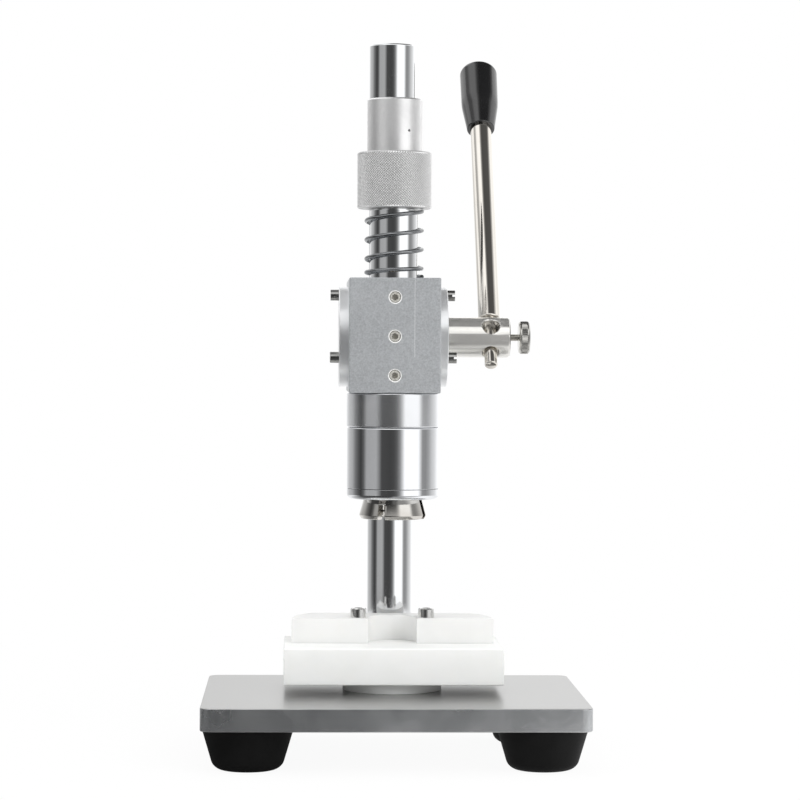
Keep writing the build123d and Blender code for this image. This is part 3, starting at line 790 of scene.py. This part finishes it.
# Platform with its spacer and its half round locator
platform = {"halfWidth": 58, "halfDepth": 33, "thickness": 19.5, "edge": 0.7}
spacer = {"radius": 26.5, "bottom": -25, "bore": 4.3}
bm = roundedBox(
    (-platform["halfWidth"], -platform["halfDepth"], -platform["thickness"]),
    (platform["halfWidth"], platform["halfDepth"], 0),
    edgeSize=platform["edge"],
)
storePiece("platformBlock", bm, "base", "platformPlastic", ["platform_block"])
outline = [
    (spacer["bore"], spacer["bottom"]),
    (spacer["radius"], spacer["bottom"]),
    (spacer["radius"], -platform["thickness"]),
    (spacer["bore"], -platform["thickness"]),
]
bm = turnedShape(outline, [(1, 0.4, 2)], closed=True)
storePiece("platformSpacer", bm, "base", "platformPlastic", ["platform_spacer"])
storeCopy("vialLocator", "base", "locatorPlastic", "vial_locator")

locatorScrew = {"x": 18.2, "y": -1, "seat": 13.5}
capScrew = {"headRadius": 4.25, "headHeight": 5, "socketRadius": 2.3, "socketDepth": 3, "edge": 0.5}
screws = []
for side in (-1, 1):
    screw = socketScrew(**capScrew, shankRadius=2.5, shankLength=23)
    screws.append(place(screw, (side * locatorScrew["x"], locatorScrew["y"], locatorScrew["seat"])))
storePiece("locatorScrews", joinShapes(screws), "base", "zincScrew", ["locator_screws"])
print("base built")

# Head block with its gib screws and clamp screws
storeCopy("headBlock", "head", "blastedBlock", "head_block")
setScrew = {"headRadius": 2.98, "headHeight": 0.9, "socketRadius": 1.75, "socketDepth": 3, "edge": 0.75}
setScrewFace = -23.55
screws = []
for height in gibHeights:
    screw = socketScrew(**setScrew, shankRadius=2.4, shankLength=5.8)
    place(screw, (0, setScrewFace + setScrew["headHeight"], height), (0, -1, 0), (1, 0, 0))
    screws.append(screw)
storePiece("gibScrews", joinShapes(screws), "head", "yellowSetScrew", ["gib_screws"])
storeCopy("clampScrews", "head", "zincScrew", "clamp_screws")
for side in ("left", "right"):
    storeCopy(side + "BearingCover", "head", "coverAluminium", side + "_bearing_cover")
storeCopy("coverScrews", "head", "coverScrewSteel", "cover_screws")
print("head built")

# Pinion shaft with its hub
storeCopy("pinionShaft", "pinion", "nickelHub", "pinion_shaft")

# Lever rod, knob and thumb screw. Heights on the lever are counted from the middle of the hub.
pinionAxis = {"y": 19, "z": 164}
hubCentre = (53, pinionAxis["y"], pinionAxis["z"])
leverOut = (0, math.sin(leverTilt), math.cos(leverTilt))
lever = {"radius": 6, "tipRadius": 3.5, "tipEnd": -19, "neckStart": -8.5, "knobStart": 149, "knobEnd": 194.2}
leverNeck = {"radius": 4.6, "end": 11.15}
leverStub = {"radius": 4.9, "start": 1.9, "end": 24}  # counted from the start of the knob
outline = [
    (0, lever["tipEnd"]),
    (lever["tipRadius"], lever["tipEnd"]),
    (lever["tipRadius"], lever["neckStart"]),
    (leverNeck["radius"], lever["neckStart"]),
    (leverNeck["radius"], leverNeck["end"]),
    (lever["radius"], leverNeck["end"]),
    (lever["radius"], lever["knobStart"] + leverStub["start"]),
    (leverStub["radius"], lever["knobStart"] + leverStub["start"]),
    (leverStub["radius"], lever["knobStart"] + leverStub["end"]),
    (0, lever["knobStart"] + leverStub["end"]),
]
bm = turnedShape(outline, [(1, 0.7, 3), (3, 0.4, 2), (5, 0.9, 4)], steps=120)
place(bm, hubCentre, leverOut)
storePiece("leverRod", bm, "lever", "nickelRod", ["lever_rod"])

knob = {"neck": 7.85, "shoulder": 10.55, "radius": 10.8, "crown": 3.8, "taper": 18}
knobSocket = {"mouth": 6.1, "step": 2, "bore": 5, "depth": 24.5}
outline = [
    (0, lever["knobEnd"]),
    (knob["radius"], lever["knobEnd"]),
    (knob["shoulder"], lever["knobStart"] + knob["taper"]),
    (knob["neck"], lever["knobStart"]),
    (knobSocket["mouth"], lever["knobStart"]),
    (knobSocket["mouth"], lever["knobStart"] + knobSocket["step"]),
    (knobSocket["bore"], lever["knobStart"] + knobSocket["step"]),
    (knobSocket["bore"], lever["knobStart"] + knobSocket["depth"]),
    (0, lever["knobStart"] + knobSocket["depth"]),
]
bm = turnedShape(outline, [(1, knob["crown"], 10), (2, 3.0, 6), (3, 0.6, 3)], steps=96)
place(bm, hubCentre, leverOut)
storePiece("leverKnob", bm, "lever", "blackKnobPlastic", ["lever_knob"])

thumb = {"start": 68.6, "end": 74.4, "radius": 8.7, "rim": 0.7, "steps": 108, "rows": 10, "depth": 0.12}
thread = {"tip": 57.85, "tipRadius": 1.6, "lead": 0.3, "radius": 2.0, "root": 1.65, "pitch": 0.8}
outline = [(0, thread["tip"]), (thread["tipRadius"], thread["tip"])]
height = thread["tip"] + thread["lead"]
while height < thumb["start"] - thread["pitch"]:
    outline += [(thread["radius"], height), (thread["root"], height + thread["pitch"] / 2)]
    height += thread["pitch"]
outline += [(thread["radius"], height), (thread["radius"], thumb["start"])]
outline += [(thumb["radius"] - thumb["rim"], thumb["start"])]
knurlLow, knurlHigh = thumb["start"] + thumb["rim"], thumb["end"] - thumb["rim"]
outline += gridLine(thumb["radius"], knurlLow, knurlHigh, thumb["rows"])
outline += [(thumb["radius"] - thumb["rim"], thumb["end"]), (0, thumb["end"])]
bm = turnedShape(outline, steps=thumb["steps"])
knurl(bm, thumb, knurlLow, knurlHigh, diamond=False)
place(bm, (0, pinionAxis["y"], pinionAxis["z"]), (1, 0, 0), (0, 1, 0))
storePiece("thumbScrew", bm, "lever_lock", "thumbSteel", ["thumb_screw"])
print("lever built")

# Ram with its cap, nut and return spring
storeCopy("rackRam", "ram_group", "chromePlate", "ram", sharpAngle=20)
storeCopy("ramCap", "ram_group", "turnedAluminium", "ram_cap")

nut = {"bottom": 232.4, "top": 262.5, "radius": 19.7, "bore": 11.05, "steps": 176, "rows": 42, "depth": 0.28}
nutRim = {"height": 0.5, "inset": 0.7}
knurlLow, knurlHigh = nut["bottom"] + nutRim["height"], nut["top"] - nutRim["height"]
outline = [(nut["bore"], nut["bottom"]), (nut["radius"] - nutRim["inset"], nut["bottom"])]
outline += gridLine(nut["radius"], knurlLow, knurlHigh, nut["rows"])
outline += [(nut["radius"] - nutRim["inset"], nut["top"]), (nut["bore"], nut["top"])]
bm = turnedShape(outline, closed=True, steps=nut["steps"])
knurl(bm, nut, knurlLow, knurlHigh)
storePiece("adjustingNut", bm, "nut", "knurledAluminium", ["adjusting_nut"], sharpAngle=12)


def coilShape(mean, wire, bottom, stages, stepsPerTurn=64):
    # stages holds the number of turns and the pitch of each stretch of the coil
    bm = bmesh.new()
    ring = bmesh.ops.create_circle(bm, segments=14, radius=wire, cap_ends=True)["verts"]
    bmesh.ops.rotate(bm, verts=ring, cent=(0, 0, 0), matrix=Matrix.Rotation(math.radians(90), 3, "X"))
    bmesh.ops.translate(bm, verts=ring, vec=(mean, 0, bottom))
    geom = bm.verts[:] + bm.edges[:] + bm.faces[:]
    for turns, pitch in stages:
        steps = round(turns * stepsPerTurn)
        geom = bmesh.ops.spin(
            bm,
            geom=geom,
            cent=(0, 0, 0),
            axis=(0, 0, 1),
            dvec=(0, 0, pitch / stepsPerTurn),
            angle=turns * math.tau,
            steps=steps,
            use_merge=False,
            use_normal_flip=False,
            use_duplicate=False,
        )["geom_last"]
    return bm


spring = {"mean": 14.9, "wire": 1.1, "bottom": 196.2, "closed": 4.4, "open": 10.17}
bm = coilShape(spring["mean"], spring["wire"], spring["bottom"], [(1, spring["closed"]), (3, spring["open"])])
coil = storePiece("returnSpring", bm, "head", "darkSpringWire", ["return_spring"], 60, False)
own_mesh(coil)
coreSpring = {"mean": 11, "wire": 0.9, "bottom": 101, "pitch": 4.75}
bm = coilShape(coreSpring["mean"], coreSpring["wire"], coreSpring["bottom"], [(4, coreSpring["pitch"])])
coil = storePiece("coreSpring", bm, "ram_group", "darkSpringWire", ["core_spring"], 60, False)
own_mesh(coil)
print("ram built")

# Crimping head. The sleeve and the ring meet at a fine line.
adapter = {"bore": 12.82, "room": 14, "radius": 25, "top": 133.7, "shelf": 121, "step": 115.7}
spigot = {"radius": 22.4, "end": 107.5}
outline = [
    (adapter["bore"], adapter["shelf"]),
    (adapter["bore"], adapter["top"]),
    (adapter["radius"], adapter["top"]),
    (adapter["radius"], adapter["step"]),
    (spigot["radius"], adapter["step"]),
    (spigot["radius"], spigot["end"]),
    (adapter["room"], spigot["end"]),
    (adapter["room"], adapter["shelf"]),
]
bm = turnedShape(outline, [(2, 0.6, 3), (3, 0.7, 3)], closed=True, steps=192)
storePiece("headAdapter", bm, "ram_group", "adapterChromePlate", ["head_adapter"])
sleeve = {"bore": 20.6, "socket": 22.45, "radius": 24.8, "bottom": 82.85, "top": 115.6}
outline = [
    (sleeve["bore"], sleeve["bottom"]),
    (sleeve["radius"], sleeve["bottom"]),
    (sleeve["radius"], sleeve["top"]),
    (sleeve["socket"], sleeve["top"]),
    (sleeve["socket"], spigot["end"]),
    (sleeve["bore"], spigot["end"]),
]
bm = turnedShape(outline, [(1, 0.25, 2), (2, 1.0, 4)], closed=True, steps=192)
storePiece("crimpSleeve", bm, "ram_group", "headChromePlate", ["crimp_sleeve"])
closer = {"mouth": 16.3, "radius": 24.8, "bottom": 77.2, "lip": 79.2, "top": 82.75}
collar = {"inner": 18.8, "outer": 20.55, "top": 87.8}
outline = [
    (closer["mouth"], closer["bottom"]),
    (closer["radius"], closer["bottom"]),
    (closer["radius"], closer["top"]),
    (collar["outer"], closer["top"]),
    (collar["outer"], collar["top"]),
    (collar["inner"], collar["top"]),
    (closer["mouth"], closer["lip"]),
]
bm = turnedShape(outline, [(0, 0.4, 2), (1, 2.6, 8), (2, 0.25, 2)], closed=True, steps=192)
storePiece("closingRing", bm, "ram_group", "headChromePlate", ["closing_ring"])

# Core of the head with its jaws
carrier = {"radius": 20.45, "mouth": 15.6, "room": 18.3, "bore": 6.02}
carrierHeights = {"bottom": 87.9, "floor": 89.9, "roof": 95, "top": 100}
outline = [
    (carrier["mouth"], carrierHeights["bottom"]),
    (carrier["radius"], carrierHeights["bottom"]),
    (carrier["radius"], carrierHeights["top"]),
    (carrier["bore"], carrierHeights["top"]),
    (carrier["bore"], carrierHeights["roof"]),
    (carrier["room"], carrierHeights["roof"]),
    (carrier["room"], carrierHeights["floor"]),
    (carrier["mouth"], carrierHeights["floor"]),
]
bm = turnedShape(outline, [(1, 0.3, 2), (2, 0.4, 2)], closed=True)
storePiece("jawCarrier", bm, "core", "groundSteel", ["jaw_carrier"])
plunger = {"radius": 8.8, "stem": 6, "bottom": 74}
outline = [
    (0, plunger["bottom"]),
    (plunger["radius"], plunger["bottom"]),
    (plunger["radius"], carrierHeights["roof"]),
    (plunger["stem"], carrierHeights["roof"]),
    (plunger["stem"], carrierHeights["top"]),
    (0, carrierHeights["top"]),
]
bm = turnedShape(outline, [(1, 0.8, 3)], steps=120)
storePiece("plunger", bm, "core", "groundSteel", ["plunger"])

jaw = {"gap": 3.9, "turn": -22.4}
# Radius and height of the points of a jaw's section, from the lip round the outside to the hook on top
jawOutline = [
    (11.2, 67.3),
    (12, 66.5),
    (17.0, 66.5),
    (18.07, 68.5),
    (14.2, 82.6),
    (14.2, 90.3),
    (17.4, 90.3),
    (17.4, 92.9),
    (10.8, 92.9),
    (10.8, 79.5),
    (12, 77.5),
    (12, 70.5),
    (11.2, 69.5),
]
# The jaws are the four quarters of one turned ring, with a gap between each two
for index, side in enumerate(("front", "right", "back", "left")):
    middle = math.radians(-90 + jaw["turn"] + 45 + 90 * index)
    bm = turnedShape(jawOutline, [(2, 0.4, 2), (3, 0.3, 2)], closed=True, steps=144)
    for edge in (-1, 1):
        across = middle + edge * math.radians(135)
        normal = Vector((math.cos(across), math.sin(across), 0))
        bmesh.ops.bisect_plane(
            bm,
            geom=bm.verts[:] + bm.edges[:] + bm.faces[:],
            plane_co=-normal * jaw["gap"] / 2,
            plane_no=normal,
            clear_outer=True,
        )
    bmesh.ops.holes_fill(bm, edges=[e for e in bm.edges if e.is_boundary], sides=0)
    storePiece("jaw" + side.title(), bm, side + "_jaw", "jawSteel", ["jaw_" + side])
print("crimping head built")

# Finishes of the solids that stay as the frame has them
keptSolids = {
    "foot_screws": "zincScrew",
    "pillar_washer": "zincScrew",
    "pillar_bolt": "zincScrew",
    "platform_washer": "zincScrew",
    "platform_bolt": "zincScrew",
    "guide_gib": "bearingBronze",
    "left_bearing_bush": "bearingBronze",
    "right_bearing_bush": "bearingBronze",
}
for node, finishName in keptSolids.items():
    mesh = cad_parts[node].data
    mesh.materials.clear()
    mesh.materials.append(finish[finishName])


def makeStage(name, bm, material, onlyReflections=False):
    mesh = bpy.data.meshes.new(name)
    bm.to_mesh(mesh)
    bm.free()
    mesh.materials.append(material)
    stageObject = bpy.data.objects.new(name, mesh)
    bpy.context.scene.collection.objects.link(stageObject)
    if onlyReflections:
        stageObject.visible_camera = False
        stageObject.visible_diffuse = False
        stageObject.visible_shadow = False
        stageObject.visible_transmission = False


# Floor, pale and nearly as bright as the background
floor = {
    "z": -59.2,
    "size": 9.0,
    "colour": (0.93, 0.93, 0.93, 1),
    "second": (0.95, 0.95, 0.95, 1),
    "glow": (0.94, 1.0),
    "glowReach": (0.12, 0.6),  # the distances in metres between which the glow grows
}
material, tree = newMaterial("paleFloor")
shader = feed(tree, tree.nodes["Principled BSDF"], {"Roughness": 0.9})
spot = objectSpace(tree)
paper = noiseNode(tree, spot, Scale=3.0)
paperColour = mixColour(tree, paper.outputs["Fac"], floor["colour"], floor["second"])
tree.links.new(paperColour, shader.inputs["Base Color"])
distance = addNode(tree, "ShaderNodeVectorMath", {0: spot}, operation="LENGTH")
far = mapValue(tree, distance.outputs["Value"], *floor["glow"], *floor["glowReach"])
glow = addNode(tree, "ShaderNodeEmission", {"Color": (1, 1, 1, 1), "Strength": 1.0})
mixed = addNode(
    tree,
    "ShaderNodeMixShader",
    {0: mathNode(tree, "MULTIPLY", sharplySeen(tree), far), 1: shader.outputs[0], 2: glow.outputs[0]},
)
tree.links.new(mixed.outputs[0], tree.nodes["Material Output"].inputs["Surface"])
bm = bmesh.new()
bmesh.ops.create_grid(bm, x_segments=1, y_segments=1, size=floor["size"] / 2)
bmesh.ops.translate(bm, vec=(0, 0, floor["z"] * mm), verts=bm.verts)
makeStage("studioFloor", bm, material)

# Soft screens round, over and under the set, in metres. Only reflections show them.
screens = {
    "radius": 0.8,
    "low": -0.0585,
    "high": 0.75,
    "floor": -0.05905,
    "brightness": 1.3,
    "wallWhitens": (0.43, 0.52),  # going up
    "ceilingDims": (-0.34, -0.26),  # going back from the camera
    "groundLightens": (-0.26, -0.12),  # going back
    "groundPales": (0.0, 0.3),  # going back
}
# Each stop is the compass turn from the front, positive to the right, and how bright the screen is there
wallStops = [
    (-180, 0.90),
    (-139, 0.46),
    (-122, 0.37),
    (-108, 0.16),
    (-97, 0.08),
    (-88, 0.04),
    (-79, 0.10),
    (-70, 0.34),
    (-44, 0.36),
    (-37, 0.22),
    (-30, 0.06),
    (-8, 0.05),
    (1, 0.06),
    (8, 0.10),
    (15, 0.24),
    (21, 0.55),
    (27, 1.0),
    (63, 1.0),
    (69, 0.62),
    (75, 0.26),
    (86, 0.24),
    (97, 0.34),
    (108, 0.52),
    (122, 0.66),
    (139, 0.92),
    (180, 0.92),
]
# The ceiling and the ground change from left to right, in metres
ceilingStops = [
    (-0.80, 0.36),
    (-0.45, 0.40),
    (-0.33, 0.95),
    (-0.12, 1.0),
    (-0.04, 0.28),
    (0.04, 0.07),
    (0.50, 0.08),
    (0.64, 0.40),
    (0.80, 0.70),
]
groundStops = [
    (-0.40, 0.06),
    (-0.10, 0.11),
    (-0.03, 0.16),
    (0.0, 0.40),
    (0.06, 0.38),
    (0.09, 0.60),
    (0.12, 0.90),
]


def stopRamp(tree, value, stops, reach):
    # A grey ramp over the values from minus reach to reach
    ramp = addNode(tree, "ShaderNodeValToRGB", {"Fac": mapValue(tree, value, 0.0, 1.0, -reach, reach)})
    elements = ramp.color_ramp.elements
    while len(elements) > 1:
        elements.remove(elements[-1])
    for index, (where, level) in enumerate(stops):
        position = (where + reach) / (2 * reach)
        stop = elements[0] if index == 0 else elements.new(position)
        stop.position = position
        stop.color = (level, level, level, 1)
    return ramp.outputs["Color"]


def startScreen(name):
    material, tree = newMaterial(name)
    tree.nodes.remove(tree.nodes["Principled BSDF"])
    return material, tree, addNode(tree, "ShaderNodeSeparateXYZ", {"Vector": objectSpace(tree)})


def endScreen(tree, colour):
    glow = addNode(tree, "ShaderNodeEmission", {"Color": colour, "Strength": screens["brightness"]})
    tree.links.new(glow.outputs[0], tree.nodes["Material Output"].inputs["Surface"])


def roundCloth(height):
    bm = bmesh.new()
    bmesh.ops.create_circle(bm, cap_ends=True, segments=90, radius=screens["radius"])
    bmesh.ops.translate(bm, vec=(0, 0, height), verts=bm.verts)
    return bm


material, tree, apart = startScreen("wallCloth")
towardsFront = mathNode(tree, "MULTIPLY", apart.outputs["Y"], -1.0)
turnAngle = mathNode(tree, "ARCTAN2", apart.outputs["X"], towardsFront)
degrees = mathNode(tree, "MULTIPLY", turnAngle, 180 / math.pi)
wall = stopRamp(tree, degrees, wallStops, 180)
lifted = mapValue(tree, apart.outputs["Z"], 0.0, 0.9, *screens["wallWhitens"])
endScreen(tree, mixColour(tree, lifted, wall, (0.95, 0.95, 0.95, 1)))
bm = bmesh.new()
ring = bmesh.ops.create_circle(bm, segments=180, radius=screens["radius"])["verts"]
bmesh.ops.translate(bm, vec=(0, 0, screens["low"]), verts=ring)
geom = bmesh.ops.extrude_edge_only(bm, edges=bm.edges[:])["geom"]
raised = [g for g in geom if isinstance(g, bmesh.types.BMVert)]
bmesh.ops.translate(bm, vec=(0, 0, screens["high"] - screens["low"]), verts=raised)
makeStage("wallScreen", bm, material, True)

material, tree, apart = startScreen("ceilingCloth")
ceiling = stopRamp(tree, apart.outputs["X"], ceilingStops, screens["radius"])
front = mapValue(tree, apart.outputs["Y"], 1.0, 0.0, *screens["ceilingDims"])
endScreen(tree, mixColour(tree, front, ceiling, (1, 1, 1, 1)))
makeStage("ceilingScreen", roundCloth(screens["high"]), material, True)

material, tree, apart = startScreen("groundCloth")
ground = stopRamp(tree, apart.outputs["X"], groundStops, screens["radius"])
near = mapValue(tree, apart.outputs["Y"], 0.38, 1.0, *screens["groundLightens"])
ground = mathNode(tree, "MULTIPLY", ground, near)
behind = mapValue(tree, apart.outputs["Y"], 0.0, 1.0, *screens["groundPales"])
endScreen(tree, mixColour(tree, behind, ground, (0.8, 0.8, 0.8, 1)))
makeStage("groundScreen", roundCloth(screens["floor"]), material, True)

# World: white to the camera, to polished metal and to glass, and a soft grey fill for the rest
worldLight = {"fill": 0.45, "seen": 1.0}
world = bpy.data.worlds.new("studioWorld")
bpy.context.scene.world = world
world.use_nodes = True
tree = world.node_tree
strength = mapValue(tree, sharplySeen(tree), worldLight["fill"], worldLight["seen"])
feed(tree, tree.nodes["Background"], {"Color": (1, 1, 1, 1), "Strength": strength})

# Lamps, all turned to one point of the set
lampTarget = (0, 0, 0.1)
lamps = {
    "softKey": {"at": (1.1, -1.3, 1.2), "size": 1.2, "power": 23},
    "softFill": {"at": (-1.5, -0.9, 1.0), "size": 1.4, "power": 11},
    "softTop": {"at": (0.0, 0.2, 2.0), "size": 1.6, "power": 14},
}
for name, lamp in lamps.items():
    light = bpy.data.lights.new(name, "AREA")
    light.energy = lamp["power"]
    light.size = lamp["size"]
    lampObject = bpy.data.objects.new(name, light)
    lampObject.location = lamp["at"]
    aim = Vector(lampTarget) - Vector(lamp["at"])
    lampObject.rotation_euler = aim.to_track_quat("-Z", "Y").to_euler()
    lampObject.visible_glossy = False
    bpy.context.scene.collection.objects.link(lampObject)

# Camera, placed from the perspective of the photograph
view = {"at": (-0.0482, -1.476, 0.1526), "lens": 123.93, "yaw": 2.009, "pitch": 0.874, "roll": 0.3}
camera = bpy.data.cameras.new("productCamera")
camera.lens = view["lens"]
camera.sensor_width = 36
camera.clip_end = 50
cameraObject = bpy.data.objects.new("productCamera", camera)
bpy.context.scene.collection.objects.link(cameraObject)
cameraObject.location = view["at"]
turned = Matrix.Rotation(math.radians(-view["yaw"]), 4, "Z")
tipped = Matrix.Rotation(math.radians(90 - view["pitch"]), 4, "X")
rolled = Matrix.Rotation(math.radians(view["roll"]), 4, "Z")
cameraObject.rotation_euler = (turned @ tipped @ rolled).to_euler()
bpy.context.scene.camera = cameraObject
bpy.context.scene.view_settings.view_transform = "Standard"
print("studio ready")
